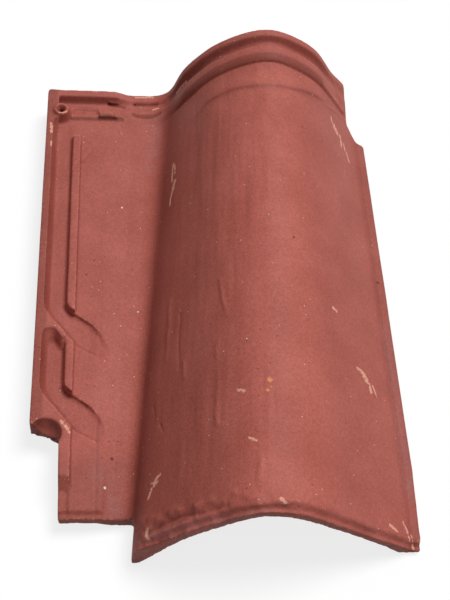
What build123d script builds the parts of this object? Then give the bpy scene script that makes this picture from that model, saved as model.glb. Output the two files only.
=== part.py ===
from build123d import *
from math import atan2, cos, degrees, hypot, radians, sin, sqrt
import os

# One-piece pressed clay roof tile: a flat pan with a side lock on the left and a tall barrel roll
# on the right. Lengths are in millimetres. The tile is drawn as it is laid on a roof: x runs from
# its left edge to its right edge, y from the nose to the head, and z up from the underside of the
# trough. At the end it is leaned over to lie on a level floor.

# Overall
tile_width = 280.0
tile_length = 427.0
wall = 12.0

# Pan: a flat beside the lock, and a trough beside the roll, which meet in a soft step
pan_front = 27.7
pan_thickness = 11.5
flat_top_nose = 16.0
flat_top_head = 17.5
trough_top_nose = 11.5
trough_top_head = 16.3
flat_right_nose = 47.5
flat_right_head = 56.0
step_run_nose = 12.0
step_run_head = 19.0
trough_foot = 80.5
cove_run_nose = 9.0
cove_run_head = 21.0
pan_root = 4.0
root_lift = 5.0

# Roll: its leg rises from the trough to the foot of the arch, which leaves it at the foot's slope
leg_nose = 74.2
leg_head = 110.0
foot_top_nose = 18.9
foot_top_head = 28.3
foot_slope_nose = 80.0
foot_slope_head = 60.0
crown_nose = 97.2
crown_head = 99.5
heel_lean = 4.5
heel_lift = 3.0
vault_heel_x = 116.0
vault_heel_z = 6.0
roll_stretches = 14

# Points of the outer line of the roll, from the foot to the right flange:
# the share of the width, then the share of the crown's height
roll_nose_shares = [(0.072, 0.427), (0.150, 0.603), (0.311, 0.891), (0.452, 1.0),
                    (0.570, 0.942), (0.653, 0.826), (0.861, 0.480)]
roll_head_shares = [(0.075, 0.497), (0.150, 0.680), (0.260, 0.855), (0.466, 1.0),
                    (0.598, 0.940), (0.687, 0.851), (0.825, 0.613)]
wall_shares = [1.2, 1.05, 1.0, 1.0, 1.0, 0.95, 0.85]

# Right flange, which covers the neighbour's side lock. It draws in a little at the nose.
flange_width = 7.0
flange_lap = 8.0
flange_top = 24.0
flange_bottom = 15.0
flange_round = 3.0
flange_fall = 45.0
nose_tuck = 2.4
nose_tuck_run = 60.0

# Nose: a lip set below the surface, and the bevel up from it
roll_lip_depth = 2.8
roll_lip_drop = 3.5
roll_bevel_run = 3.0
pan_lip_depth = 3.5
pan_lip_drop = 2.5
pan_bevel_run = 2.2

# Head: the rim along the end, a groove, and a second rib, running over trough and roll
rim_width = 7.0
rim_slope = 3.5
rim_height_flat = 6.5
rim_height_trough = 3.3
rim_height_roll = 5.5
groove_width = 5.5
groove_height_trough = 1.2
rib_width = 8.5
rib_back_slope = 2.0
rib_front_slope = 6.0
rib_height_trough = 1.6
rib_height_roll = 4.0
leg_lift_share = 0.3
right_lift_share = 0.3

# The two short ribs across the flat, in line with the second rib
flat_rib_setback = 28.7
low_rib_left = 21.0
low_rib_depth = 5.5
low_rib_height = 1.2
high_rib_left = 44.5
high_rib_right = 64.0
high_rib_depth = 9.0
high_rib_height = 3.6
high_rib_cut = 7.5
flat_rib_draft = 1.2

# Side lock on the left: outer rim, channel, inner rib, and two channels whose arms lead into the pan
lock_rim_top = 24.5
lock_rim_width = 6.0
lock_floor = 17.0
lock_floor_tilt = 0.4
lock_land_top = 24.0
lock_rib_left = 24.2
lock_rib_right = 30.2
lock_rib_top = 22.5
lock_rib_setback = 50.0
rim_wall_run = 4.0
rib_wall_run = 2.0
arm_wall_run = 1.5
channel_setback = 33.0
channel_end_run = 5.0
channel_clear = 6.0

# An arm of a channel: how far it reaches and how far it drops, and the lines of its two walls as
# shares of them, from the rim or the rib
arm_reach = 51.0
arm_drop = 57.0
arm_left_shares = [(0.0, 0.0), (0.030, 0.250), (0.100, 0.360), (0.307, 0.561), (0.543, 0.789),
                   (0.826, 0.925), (1.130, 1.053)]
arm_right_shares = [(0.0, 0.120), (0.045, 0.205), (0.210, 0.275), (0.446, 0.355), (0.710, 0.445),
                    (0.910, 0.555), (1.215, 0.770)]
upper_arm_top = 212.0
lower_arm_top = 141.0

# The rounded head end of the lower channel, as shares of its width and of the depth of its round
lower_channel_end = 179.4
lower_round_depth = 17.0
lower_round_shares = [(0.0, 0.441), (0.165, 0.935), (0.363, 1.0), (0.593, 0.847), (0.884, 0.476),
                      (1.0, 0.0)]
lower_end_run = 8.0

# Notch at the lower left, where the neighbour below passes, its scooped end and the strip beside it
notch_width = 21.4
notch_width_front = 22.7
notch_end_left = 97.0
notch_end_right = 88.5
scoop_x = 12.0
scoop_y = 90.0
scoop_z = 26.0
scoop_radius = 12.0
strip_right = 30.2
strip_end = 48.0
strip_ramp = 9.0

# Notch at the upper right
head_notch_width = 15.5
head_notch_setback = 40.0
head_notch_depth = 16.0
head_notch_shares = [(0.0, 0.0), (0.25, 0.36), (0.60, 0.78), (1.0, 1.0)]

# Nail boss on the lock at the head
boss_x = 12.4
boss_setback = 25.0
boss_top = 27.0
boss_radius = 6.3
boss_base_radius = 9.5
nail_radius = 2.25
nail_cup_radius = 4.4
nail_cup_depth = 4.0

# Two nibs under the head, which hook over the batten
nib_width = 13.0
nib_length = 14.0
nib_drop = 8.0
nib_setback = 14.0
nib_left = 18.0
nib_gap = 6.0

overrun = 5.0

boss_y = tile_length - boss_setback
lock_root = lock_floor - pan_thickness / 2
lean = atan2(flange_bottom, tile_width - trough_foot)


def blend(near, far, y):
    """The value at y of a size that changes evenly from the nose to the head."""
    return near + (far - near) * y / tile_length


def at(y, points):
    """Points of a section, set on the upright plane at y."""
    return [Vector(x, y, z) for x, z in points]


def flat_top(y):
    """The height of the flat's surface."""
    return blend(flat_top_nose, flat_top_head, y)


def right_edge(y):
    """The x of the tile's right edge, which draws in over the last stretch before the nose."""
    return tile_width - nose_tuck * max(0.0, 1 - y / nose_tuck_run)


def normals(points):
    """The normal at each point, turned left from the way to the next one."""
    found = []
    for index in range(len(points)):
        before = points[max(index - 1, 0)]
        after = points[min(index + 1, len(points) - 1)]
        run, rise = after[0] - before[0], after[1] - before[1]
        size = hypot(run, rise)
        found.append((-rise / size, run / size))
    return found


def moved(points, ways, steps):
    """The points, each moved by its step along its way."""
    return [(p[0] + way[0] * step, p[1] + way[1] * step) for p, way, step in zip(points, ways, steps)]


def foot_way(y):
    """The direction in which the arch leaves its foot."""
    slope = radians(blend(foot_slope_nose, foot_slope_head, y))
    return (cos(slope), sin(slope))


def roll_foot(y, lift):
    """The foot of the arch, where the trough's cove ends and the roll begins."""
    way = foot_way(y)
    up = lift * leg_lift_share
    return (blend(leg_nose, leg_head, y) - way[1] * up, blend(foot_top_nose, foot_top_head, y) + way[0] * up)


def spacing(points):
    """The share of the way along a line of points at which each of them lies."""
    steps = [hypot(after[0] - before[0], after[1] - before[1]) for before, after in zip(points, points[1:])]
    return [sum(steps[:index]) / sum(steps) for index in range(len(points))]


def roll_surface(y):
    """Points of the plain surface of the roll at y, from the foot of the arch to the flange's corner."""
    leg = blend(leg_nose, leg_head, y)
    corner = right_edge(y) - flange_width
    crown = blend(crown_nose, crown_head, y)
    between = [(leg + blend(near[0], far[0], y) * (corner - leg), blend(near[1], far[1], y) * crown)
               for near, far in zip(roll_nose_shares, roll_head_shares)]
    return [roll_foot(y, 0.0)] + between + [(corner, flange_top)]


def arch_points(y, lift=0.0):
    """The outer line of the roll at y, its surface raised by the lift, less so at the flange."""
    surface = roll_surface(y)
    right_lift = lift if lift < 0 else lift * right_lift_share
    steps = [lift] * (len(surface) - 3) + [right_lift]
    raised = moved(surface[1:-1], normals(surface)[1:-1], steps)
    return [roll_foot(y, lift)] + raised + [(surface[-1][0], flange_top + right_lift)]


def vault_points(y):
    """The inner line of the roll at y, from the flange back to the heel of the leg."""
    surface = roll_surface(y)
    inner = moved(surface[1:-1], normals(surface)[1:-1], [-wall * share for share in wall_shares])
    edge = (right_edge(y) - flange_width - flange_lap, flange_bottom)
    heel = (blend(trough_foot, vault_heel_x, y), blend(0.0, vault_heel_z, y))
    return [edge] + inner[::-1] + [heel]


arch_spacing = spacing(arch_points(tile_length / 2))
vault_spacing = spacing(vault_points(tile_length / 2))


def roll_section(y, lift=0.0):
    """The closed section of the roll at y, from the foot of its leg to its right flange."""
    outer, inner = arch_points(y, lift), vault_points(y)
    way = foot_way(y)
    leaving = Vector(way[0], 0, way[1])
    falling = Vector(cos(radians(flange_fall)), 0, -sin(radians(flange_fall)))
    arch = Edge.make_spline(at(y, outer), tangents=[leaving, falling], parameters=arch_spacing)
    vault = Edge.make_spline(at(y, inner), parameters=vault_spacing)
    edge, edge_top = right_edge(y), outer[-1][1]
    turn = flange_round * sqrt(0.5)
    heel = (blend(leg_nose, leg_head - heel_lean, y), blend(0.0, heel_lift, y))
    p = at(y, [outer[-1], (edge - flange_round, edge_top),
               (edge - flange_round + turn, edge_top - flange_round + turn),
               (edge, edge_top - flange_round), (edge, flange_bottom), inner[0]])
    h = at(y, [inner[-1], heel, outer[0]])
    return Wire([arch, Line(p[0], p[1]), ThreePointArc(p[1], p[2], p[3]), Line(p[3], p[4]),
                 Line(p[4], p[5]), vault, Line(h[0], h[1]), Line(h[1], h[2])])


def pan_section(y, flat_lift=0.0, trough_lift=0.0, roll_lift=0.0):
    """The closed section of the pan at y, from its left edge to inside the leg of the roll."""
    top = flat_top(y) + flat_lift
    bottom = flat_top(y) - pan_thickness
    low = blend(trough_top_nose, trough_top_head, y) + trough_lift
    flat_right = blend(flat_right_nose, flat_right_head, y)
    step_end = flat_right + blend(step_run_nose, step_run_head, y)
    foot = roll_foot(y, roll_lift)
    cove = foot[0] - blend(cove_run_nose, cove_run_head, y)
    root = foot[0] + pan_root
    p = at(y, [(0.0, bottom), (0.0, top), (flat_right, top), (step_end, low), (cove, low), foot,
               (root, foot[1]), (root, root_lift), (trough_foot, 0.0), (step_end, 0.0),
               (flat_right, bottom)])
    level = Vector(1, 0, 0)
    way = foot_way(y)
    leaving = Vector(way[0], 0, way[1])
    return Wire([Line(p[0], p[1]), Line(p[1], p[2]), Spline(p[2], p[3], tangents=(level, level)),
                 Line(p[3], p[4]), Spline(p[4], p[5], tangents=(level, leaving)), Line(p[5], p[6]),
                 Line(p[6], p[7]), Line(p[7], p[8]), Line(p[8], p[9]), Line(p[9], p[10]),
                 Line(p[10], p[0])])


def head_stations():
    """Places along y at the head, with the lifts there of the flat, the trough and the roll."""
    rim_start = tile_length - rim_width
    groove_end = rim_start - rim_slope
    groove_start = groove_end - groove_width
    rib_back = groove_start - rib_back_slope
    rib_front = rib_back - rib_width
    rib_foot = rib_front - rib_front_slope
    return [(rib_foot, 0.0, 0.0, 0.0),
            (rib_front, 0.0, rib_height_trough, rib_height_roll),
            (rib_back, 0.0, rib_height_trough, rib_height_roll),
            (groove_start, 0.0, groove_height_trough, 0.0),
            (groove_end, 0.0, groove_height_trough, 0.0),
            (rim_start, rim_height_flat, rim_height_trough, rim_height_roll),
            (tile_length, rim_height_flat, rim_height_trough, rim_height_roll)]


def make_roll():
    """The barrel roll, one ruled loft through its nose, its plain length and its head ribs."""
    start = roll_lip_depth + roll_bevel_run
    step = (head_stations()[0][0] - start) / roll_stretches
    sections = [roll_section(0.0, -roll_lip_drop), roll_section(roll_lip_depth, -roll_lip_drop)]
    sections += [roll_section(start + step * index) for index in range(roll_stretches)]
    sections += [roll_section(y, roll_lift) for y, flat, trough, roll_lift in head_stations()]
    return Solid.make_loft(sections, ruled=True)


def make_pan():
    """The pan, lofted in the same way from its own front edge."""
    lip_end = pan_front + pan_lip_depth
    sections = [pan_section(pan_front, -pan_lip_drop), pan_section(lip_end, -pan_lip_drop),
                pan_section(lip_end + pan_bevel_run)]
    sections += [pan_section(*station) for station in head_stations()]
    return Solid.make_loft(sections, ruled=True)


def plan_block(points, low, high, taper=0.0):
    """An upright block on an outline seen from above."""
    outline = Polyline(*[Vector(x, y, low) for x, y in points], close=True)
    return extrude(make_face(outline), amount=high - low, dir=(0, 0, 1), taper=taper)


def make_lock():
    """The raised rim, land, rib and strip of the side lock, before its channels are cut."""
    rim_foot = lock_rim_width + rim_wall_run
    rim = plan_block([(0.0, notch_end_right), (rim_foot, notch_end_right), (rim_foot, tile_length),
                      (0.0, tile_length)], lock_root, lock_rim_top)
    land_right = lock_rib_left - rib_wall_run / 2
    land = plan_block([(0.0, notch_end_right), (land_right, notch_end_right),
                       (land_right, upper_arm_top), (0.0, upper_arm_top)], lock_root, lock_land_top)
    rib_left = lock_rib_left - rib_wall_run
    half = (lock_rib_right - rib_left) / 2
    start = lower_arm_top - arm_drop
    end = tile_length - lock_rib_setback - half
    rib = plan_block([(rib_left, start), (lock_rib_right, start), (lock_rib_right, end),
                      (rib_left, end)], lock_root, lock_rib_top)
    rib_end = Pos(rib_left + half, end, lock_root) * Cylinder(
        half, lock_rib_top - lock_root, align=(Align.CENTER, Align.CENTER, Align.MIN))
    return rim + land + rib + rib_end + make_strip()


def make_strip():
    """The strip beside the notch, level with the land, which ramps down before the nose."""
    back = lower_arm_top - arm_drop / 2
    side = Polyline(Vector(notch_width, back, lock_root), Vector(notch_width, back, lock_land_top),
                    Vector(notch_width, strip_end + strip_ramp, lock_land_top),
                    Vector(notch_width, strip_end, flat_top(strip_end)),
                    Vector(notch_width, strip_end, lock_root), close=True)
    return extrude(make_face(side), amount=strip_right - notch_width, dir=(1, 0, 0))


def arm_walls(arm_top):
    """The two walls of a channel's arm at the mouth, each from the channel down into the pan."""
    left = [(lock_rim_width + across * (arm_reach - lock_rim_width), arm_top - down * arm_drop)
            for across, down in arm_left_shares]
    right = [(lock_rib_left + across * (arm_reach - lock_rib_left), arm_top - down * arm_drop)
             for across, down in arm_right_shares]
    return left, right


def drawn_in(points, start, end):
    """The foot of a wall: its top line moved to the left of its way, by a run from start to end."""
    last = len(points) - 1
    steps = [start + (end - start) * index / last for index in range(last + 1)]
    return moved(points, normals(points), steps)


def wall_line(points, z, shares, start=None, end=None):
    """A smooth line at z through points seen from above, with its own directions at the ends."""
    line = [Vector(x, y, z) for x, y in points]
    start = start or Vector(0, -1, 0)
    end = end or (line[-1] - line[-2]).normalized()
    return Edge.make_spline(line, tangents=[start, end], parameters=shares)


def channel_outline(left, right, head, z):
    """The outline of a channel at z, round its head end and both walls of its arm."""
    down = Vector(0, -1, 0)
    if len(head) > 2:
        end = wall_line(head, z, spacing(head), -down, down)
    else:
        end = Line(*[Vector(x, y, z) for x, y in head])
    left_wall = wall_line(left, z, spacing(arm_left_shares))
    right_wall = wall_line(right, z, spacing(arm_right_shares))
    return Wire([end, Line(end @ 1, right_wall @ 0), right_wall, Line(right_wall @ 1, left_wall @ 1),
                 left_wall, Line(left_wall @ 0, end @ 0)])


def make_channel(arm_top, mouth_head, floor_head):
    """A channel with its arm: walls drawn in from the mouth to the floor, and clear space above.

    It is tilted about the head end of the long channel, so that it deepens towards the nose.
    """
    left, right = arm_walls(arm_top)
    left_floor = drawn_in(left, rim_wall_run, arm_wall_run)
    right_floor = drawn_in(right, -rib_wall_run, -arm_wall_run)
    mouth = channel_outline(left, right, mouth_head, lock_rim_top)
    floor = channel_outline(left_floor, right_floor, floor_head, lock_floor)
    channel = Solid.make_loft([floor, mouth], ruled=True) + extrude(
        Face(mouth), amount=channel_clear, dir=(0, 0, 1))
    end = tile_length - channel_setback
    return Pos(0, end, lock_floor) * Rot(lock_floor_tilt, 0, 0) * Pos(0, -end, -lock_floor) * channel


def upper_channel():
    """The long channel, which starts level with the flat near the head."""
    end = tile_length - channel_setback
    return make_channel(upper_arm_top, [(lock_rim_width, end), (lock_rib_left, end)],
                        [(lock_rim_width + rim_wall_run, end - channel_end_run),
                         (lock_rib_left - rib_wall_run, end - channel_end_run)])


def lower_channel():
    """The short second channel, closed at its head by a round wall."""
    base = lower_channel_end - lower_round_depth
    width = lock_rib_left - lock_rim_width
    floor_left = lock_rim_width + rim_wall_run
    floor_width = lock_rib_left - rib_wall_run - floor_left
    mouth = [(lock_rim_width + across * width, base + up * lower_round_depth)
             for across, up in lower_round_shares]
    floor = [(floor_left + across * floor_width, base - lower_end_run + up * lower_round_depth)
             for across, up in lower_round_shares]
    return make_channel(lower_arm_top, mouth, floor)


def make_flat_ribs():
    """The low and the high rib across the flat at the head, the high one cut off aslant."""
    front = tile_length - flat_rib_setback
    draft = degrees(atan2(flat_rib_draft, high_rib_height))
    low_back = front + low_rib_depth
    high_back = front + high_rib_depth
    low = plan_block([(low_rib_left, front), (high_rib_left, front), (high_rib_left, low_back),
                      (low_rib_left, low_back)], lock_floor, flat_top_head + low_rib_height, draft)
    high = plan_block([(high_rib_left, front), (high_rib_right, front),
                       (high_rib_right - high_rib_cut, high_back), (high_rib_left, high_back)],
                      lock_floor, flat_top_head + high_rib_height, draft)
    return low + high


def make_boss():
    """The hollow cone round the nail hole."""
    foot = Pos(boss_x, boss_y, lock_root) * Cylinder(
        boss_base_radius, lock_floor - lock_root, align=(Align.CENTER, Align.CENTER, Align.MIN))
    cone = Pos(boss_x, boss_y, lock_floor) * Cone(
        boss_base_radius, boss_radius, boss_top - lock_floor, align=(Align.CENTER, Align.CENTER, Align.MIN))
    return foot + cone


def nail_hole():
    """The hole for the nail, with the cup at its mouth."""
    depth = boss_top - nail_cup_depth
    bore = Pos(boss_x, boss_y, -overrun) * Cylinder(
        nail_radius, depth + 2 * overrun, align=(Align.CENTER, Align.CENTER, Align.MIN))
    cup = Pos(boss_x, boss_y, depth) * Cone(
        nail_radius, nail_cup_radius, nail_cup_depth, align=(Align.CENTER, Align.CENTER, Align.MIN))
    return bore + cup


def make_nibs():
    """The two nibs under the flat of the pan, near the head."""
    back = tile_length - nib_setback
    front = back - nib_length
    low = flat_top_head - pan_thickness - nib_drop
    first, second = [plan_block([(left, front), (left + nib_width, front), (left + nib_width, back),
                                 (left, back)], low, lock_root)
                     for left in (nib_left, nib_left + nib_width + nib_gap)]
    return first + second


def side_notch():
    """The piece missing from the left edge near the nose, with its scooped end."""
    block = plan_block([(-overrun, pan_front - overrun), (notch_width_front, pan_front - overrun),
                        (notch_width_front, pan_front), (notch_width, notch_end_right),
                        (0.0, notch_end_left), (-overrun, notch_end_left)],
                       -overrun, lock_rim_top + overrun)
    return block + Pos(scoop_x, scoop_y, scoop_z) * Sphere(scoop_radius)


def head_notch():
    """The piece missing from the right edge at the head, with its hollow corner."""
    left = tile_width - head_notch_width
    start = tile_length - head_notch_setback
    low = -overrun
    curve = Spline(*[Vector(left + across * head_notch_width, start - down * head_notch_depth, low)
                     for across, down in head_notch_shares])
    right = tile_width + overrun
    far = tile_length + overrun
    rest = Polyline(curve @ 1, Vector(right, start - head_notch_depth, low), Vector(right, far, low),
                    Vector(left, far, low), curve @ 0)
    return extrude(make_face([curve, rest]), amount=crown_head, dir=(0, 0, 1))


def make_tile():
    """The whole tile, as it is laid."""
    tile = make_roll() + make_pan()
    tile += make_lock()
    tile -= upper_channel()
    tile -= lower_channel()
    tile += make_flat_ribs()
    tile += make_boss()
    tile += make_nibs()
    tile -= nail_hole()
    tile -= side_notch()
    tile -= head_notch()
    return tile


def lay_down(tile):
    """The tile leaned over onto its right flange, its box centred over the origin on the floor."""
    lying = Pos(trough_foot, 0, 0) * Rot(0, degrees(lean), 0) * Pos(-trough_foot, 0, 0) * tile
    box = lying.bounding_box()
    return Pos(-box.center().X, -box.center().Y, -box.min.Z) * lying


os.makedirs("parts", exist_ok=True)
roof_tile = lay_down(make_tile())
export_step(roof_tile, "parts/roof_tile.step")
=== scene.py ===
"""The looks of a pressed clay roof tile, on a white stage under soft light.

The tile was pressed in a mould and fired as one piece, so one closed mesh stands for it. The mesh
starts as the tile's own solid, gets the soft edges of wet clay, and then the marks of its making and
use. Lengths are millimetres in the values below and in the relief, and metres in settings, meshes
and nodes.
"""
import math

import bpy
import numpy as np
from bpy.props import FloatProperty, FloatVectorProperty, IntProperty, PointerProperty
from bpy.types import Operator, Panel, PropertyGroup
from mathutils import Matrix, Vector


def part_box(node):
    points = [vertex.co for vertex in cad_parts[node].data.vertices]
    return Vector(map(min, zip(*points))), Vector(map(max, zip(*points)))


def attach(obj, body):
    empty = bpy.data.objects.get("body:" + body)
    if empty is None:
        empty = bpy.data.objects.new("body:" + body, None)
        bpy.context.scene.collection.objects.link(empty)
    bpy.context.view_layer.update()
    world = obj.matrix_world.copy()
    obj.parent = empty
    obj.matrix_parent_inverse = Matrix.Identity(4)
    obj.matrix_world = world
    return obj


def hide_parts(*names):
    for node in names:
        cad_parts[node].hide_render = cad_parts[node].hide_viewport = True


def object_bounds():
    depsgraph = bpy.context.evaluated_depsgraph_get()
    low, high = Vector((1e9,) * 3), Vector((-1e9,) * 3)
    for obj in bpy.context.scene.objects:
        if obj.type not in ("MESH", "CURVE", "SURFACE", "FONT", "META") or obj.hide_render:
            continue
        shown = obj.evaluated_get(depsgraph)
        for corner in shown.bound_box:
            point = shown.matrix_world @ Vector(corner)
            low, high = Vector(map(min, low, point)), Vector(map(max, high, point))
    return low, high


bl_info = {
    "name": "Clay roof tile",
    "version": (1, 0, 0),
    "blender": (4, 5, 0),
    "location": "3D View > Sidebar > Roof tile",
    "description": "Dresses a pressed clay roof tile and sets it on a white stage under soft light",
    "category": "Object",
}

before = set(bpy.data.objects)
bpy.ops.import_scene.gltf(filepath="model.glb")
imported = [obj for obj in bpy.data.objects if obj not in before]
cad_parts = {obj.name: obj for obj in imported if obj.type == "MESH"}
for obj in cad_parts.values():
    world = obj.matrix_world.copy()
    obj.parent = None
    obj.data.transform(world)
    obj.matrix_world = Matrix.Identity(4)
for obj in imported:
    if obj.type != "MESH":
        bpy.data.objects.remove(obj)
cad_box = [list(corner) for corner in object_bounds()]

MM = 0.001
NODE = "roof_tile"
BODY = "root"

# The tile as it is laid on a roof, in millimetres, which the marks on it are placed by: x from its
# left edge to its right edge, y from its nose to its head, z up from the underside of its trough.
# Further down, two numbers say where a form starts and is full, or where it begins to fade and has
# gone, and a span of four says all of these
TROUGH_FOOT = 80.5
TILE_WIDTH = 280.0
TILE_LENGTH = 427.0
FLANGE_BOTTOM = 15.0
EDGE_BOTTOM = 4.84
LEAN = math.atan2(FLANGE_BOTTOM, TILE_WIDTH - TROUGH_FOOT)

# The foot of the roll's leg at the nose and at the head, and the x where the roll meets its flange
LEG_NOSE = 74.2
LEG_HEAD = 110.0
FLANGE_LEFT = 273.0

# The second head rib: its foot, where its top starts, and its height. SHOULDER is how much of a full
# quarter of an ellipse its shoulder has on the roll, which counts from ROLL_FOOT up
RIB_FOOT = 394.5
RIB_TOP = 400.5
RIB_HEIGHT = 4.0
SHOULDER = 0.8
ROLL_FOOT = (30.0, 45.0)

# How much higher the roll's right side stands at the very head, and where it rises in x and in y
HEAD_LIFT = 8.0
LIFT_ACROSS = (238.0, 262.0)
LIFT_ALONG = (388.0, 422.0)

# How far off the clay's face the points of a mark may lie
REACH = 4.5

# The soft step across the roll below the head ribs: its line as seen from above, its height, its
# span across the roll, and its span past that line. STEP_DARK is how much painted shade darkens
# the clay at its foot, in a band with a span across the roll, the heights that it starts at, its
# place below the line and its width
CROWN_STEP = ((121.0, 350.0), (128.0, 363.0), (134.8, 370.0), (149.6, 370.8), (161.3, 370.0),
              (175.4, 367.4), (189.4, 367.2), (202.7, 369.3), (217.0, 373.9), (230.1, 377.5),
              (241.4, 381.6))
STEP_HEIGHT = 0.9
STEP_ACROSS = (124.0, 144.0, 226.0, 244.0)
STEP_ALONG = (-1.2, 1.2, 3.0, 24.0)
STEP_DARK = 0.22
STEP_DARK_ACROSS = (124.0, 144.0, 222.0, 246.0)
STEP_DARK_FROM = (40.0, 50.0)
STEP_DARK_BELOW = 0.8
STEP_DARK_WIDTH = 3.2

# The two arms that lead from the side lock into the pan, seen from above: where each starts, the
# lines of its lower and upper wall from there, which fall towards the nose, how wide its walls are
# and its span across. PAN_HEIGHTS are the heights that the pan's face and its arms lie between
ARM_STARTS = (212.0, 141.0)
ARM_LOWER = ((10.6, -20.5), (19.8, -32.0), (30.4, -45.0), (43.2, -52.7), (56.9, -60.0))
ARM_UPPER = ((24.2, -6.8), (29.8, -15.7), (36.2, -20.2), (43.2, -25.4), (48.6, -31.6),
             (56.8, -43.9))
ARM_WALL = 2.2
ARM_ACROSS = (14.0, 28.0, 40.0, 57.0)
PAN_HEIGHTS = (10.0, 18.5)

# The low land beside the lock's inner rib: its height, its span across and where it ends
LAND_HEIGHT = 0.45
LAND_ACROSS = (29.0, 31.0, 47.6, 49.4)
LAND_END = (190.0, 200.0)

# Noises of the relief: the size of each one's cells, its seed and its share
LOW_WAVES = ((55.0, 1, 1.0), (24.0, 2, 0.5))
DRAG_WAVES = (((7.0, 80.0, 400.0), 4, 1.0), ((3.6, 45.0, 400.0), 5, 0.6))
WRINKLES = (((9.0, 5.0, 9.0), 10, 0.55), (4.0, 11, 0.3))
CRUMBS = ((4.5, 7, 1.0), (2.2, 8, 0.7))

# How much of the low waves the underside has
WAVES_BELOW = 0.4

# The drag marks: their span across the roll along the draw, where they end below the head ribs, the
# cells of their patches, the least share outside a patch, and the noise that a patch starts at
DRAG_ACROSS = (2.0, 14.0, 80.0, 125.0)
DRAG_END = (385.0, 400.0)
DRAG_PATCH = (30.0, 70.0, 400.0)
DRAG_LEAST = 0.35
DRAG_EDGE = (-0.1, 0.6)

# The bevel at the roll's nose: its first and last y, how much more each is at the roll's left foot,
# where that ends in x, and how much higher the wrinkles are there
BEVEL = ((7.0, 7.0), (15.0, 11.0))
BEVEL_WIDE = (100.0, 150.0)
BEVEL_HIGHER = 0.5

# The crumbled edges: the nose, by its y, the pan's front, by its y and how far from it, and how much
# these two crumble; the broken notch, by its span along the rim and its right end, and how much it
# crumbles; and the most that any of them does
NOSE_EDGE = (0.5, 3.5)
PAN_FRONT = 28.0
FRONT_EDGE = (1.0, 3.0)
EDGE_CRUMBLE = 0.6
NOTCH_ALONG = (86.0, 88.0, 92.0, 101.0)
NOTCH_RIGHT = 22.0
NOTCH_CRUMBLE = 2.4
MOST_CRUMBLE = 3.0

# How much of a face looks up, as ranges of its normal's height: the pan's level faces, every face
# that is seen from above, the bevel's, the ones that crumble less and less, and the ones that the
# boxes of painted shade and light lie on
LEVEL = (0.5, 0.9)
UPWARD = (0.1, 0.5)
BEVEL_FACE = (0.0, 0.3)
OVERHANG = (-0.2, 0.4)
SHADE_AND_LIGHT_FACE = (-0.3, 0.1)

# Lines pressed or dragged into the wet clay: the height of each, half its width, and its points.
# LINE_UNEVEN is how much their height varies and LINE_BEND how far they stray, each with the size of
# its noise's cells
PRESSED_LINES = (
    (0.60, 1.8, ((137.5, 185.9, 82.0), (138.6, 172.0, 83.5), (140.2, 153.6, 85.1))),
    (0.55, 1.8, ((156.1, 41.1, 96.3), (157.0, 35.3, 96.6), (154.2, 21.5, 96.1))),
    (0.55, 2.0, ((132.2, 110.3, 80.3), (132.5, 87.0, 81.3), (130.5, 68.6, 80.2))),
    (0.50, 1.8, ((111.0, 129.5, 58.7), (110.6, 116.2, 59.1))),
    (0.60, 1.8, ((133.9, 133.5, 80.9), (132.7, 120.8, 80.3))),
    (-0.45, 1.6, ((109.0, 172.0, 54.0), (107.5, 148.0, 54.5), (106.5, 126.0, 55.0))),
    (0.45, 2.2, ((100.5, 190.0, 45.0), (98.5, 160.0, 45.5), (96.5, 140.0, 46.0))),
    (-0.60, 1.2, ((93.9, 87.6, 41.3), (95.4, 81.7, 43.6))),
    (-0.45, 1.2, ((90.0, 105.1, 35.1), (90.6, 95.4, 36.7))),
    (0.80, 2.4, ((139.0, 15.5, 87.5), (147.0, 10.5, 92.0), (153.0, 8.5, 94.5), (163.0, 8.0, 96.0),
                 (180.0, 7.4, 97.0), (196.0, 8.2, 95.0))),
    (-0.90, 1.9, ((84.0, 9.0, 36.0), (99.0, 11.5, 52.0), (107.0, 11.5, 60.0), (121.0, 8.5, 73.0),
                  (134.0, 9.0, 84.0))),
    (0.90, 2.6, ((86.0, 17.0, 38.0), (97.0, 17.5, 50.0), (105.0, 17.0, 58.0))),
    (0.80, 2.6, ((116.0, 14.5, 69.0), (125.0, 15.0, 77.0))),
    (0.30, 2.4, ((157.2, 366.4, 90.0), (166.0, 372.0, 94.5), (180.0, 374.5, 98.0),
                 (192.0, 371.0, 98.0), (206.0, 363.0, 92.0))),
    (0.50, 1.4, ((77.1, 414.4, 17.4), (89.6, 413.8, 17.4), (99.4, 414.2, 19.4))),
    (-0.70, 1.3, ((76.2, 416.9, 17.4), (88.0, 416.4, 17.5), (96.0, 416.6, 18.8))),
    (-0.80, 1.6, ((74.8, 406.5, 17.7), (78.0, 403.4, 17.4), (84.1, 402.0, 17.6), (92.0, 402.6, 18.4),
                  (99.0, 405.5, 20.5))),
    (0.80, 2.2, ((82.0, 405.4, 17.5), (91.0, 407.0, 18.2), (99.0, 410.5, 20.8),
                 (104.0, 415.0, 25.0))),
    (-0.90, 1.6, ((53.8, 416.8, 17.6), (58.0, 416.0, 17.5), (67.5, 413.8, 17.4))),
    (0.60, 1.6, ((55.0, 419.2, 17.6), (62.0, 418.2, 17.5))),
    (-0.40, 1.0, ((23.0, 409.2, 17.4), (43.0, 409.0, 17.4))),
    (-0.50, 1.1, ((60.5, 410.0, 17.4), (70.0, 399.5, 17.4))),
    (0.40, 1.6, ((250.8, 419.6, 52.6), (257.9, 408.1, 42.2), (262.5, 389.2, 35.7))),
    (0.35, 1.4, ((236.4, 377.1, 69.2), (249.9, 384.3, 52.1), (262.5, 389.2, 35.7))),
    (-0.45, 1.2, ((26.0, 340.9, 18.0), (39.0, 362.0, 18.0))),
    (0.35, 1.4, ((29.8, 53.5, 16.3), (30.3, 34.4, 16.3))),
)
LINE_UNEVEN = 0.7
LINE_UNEVEN_CELLS = 8.0
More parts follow.
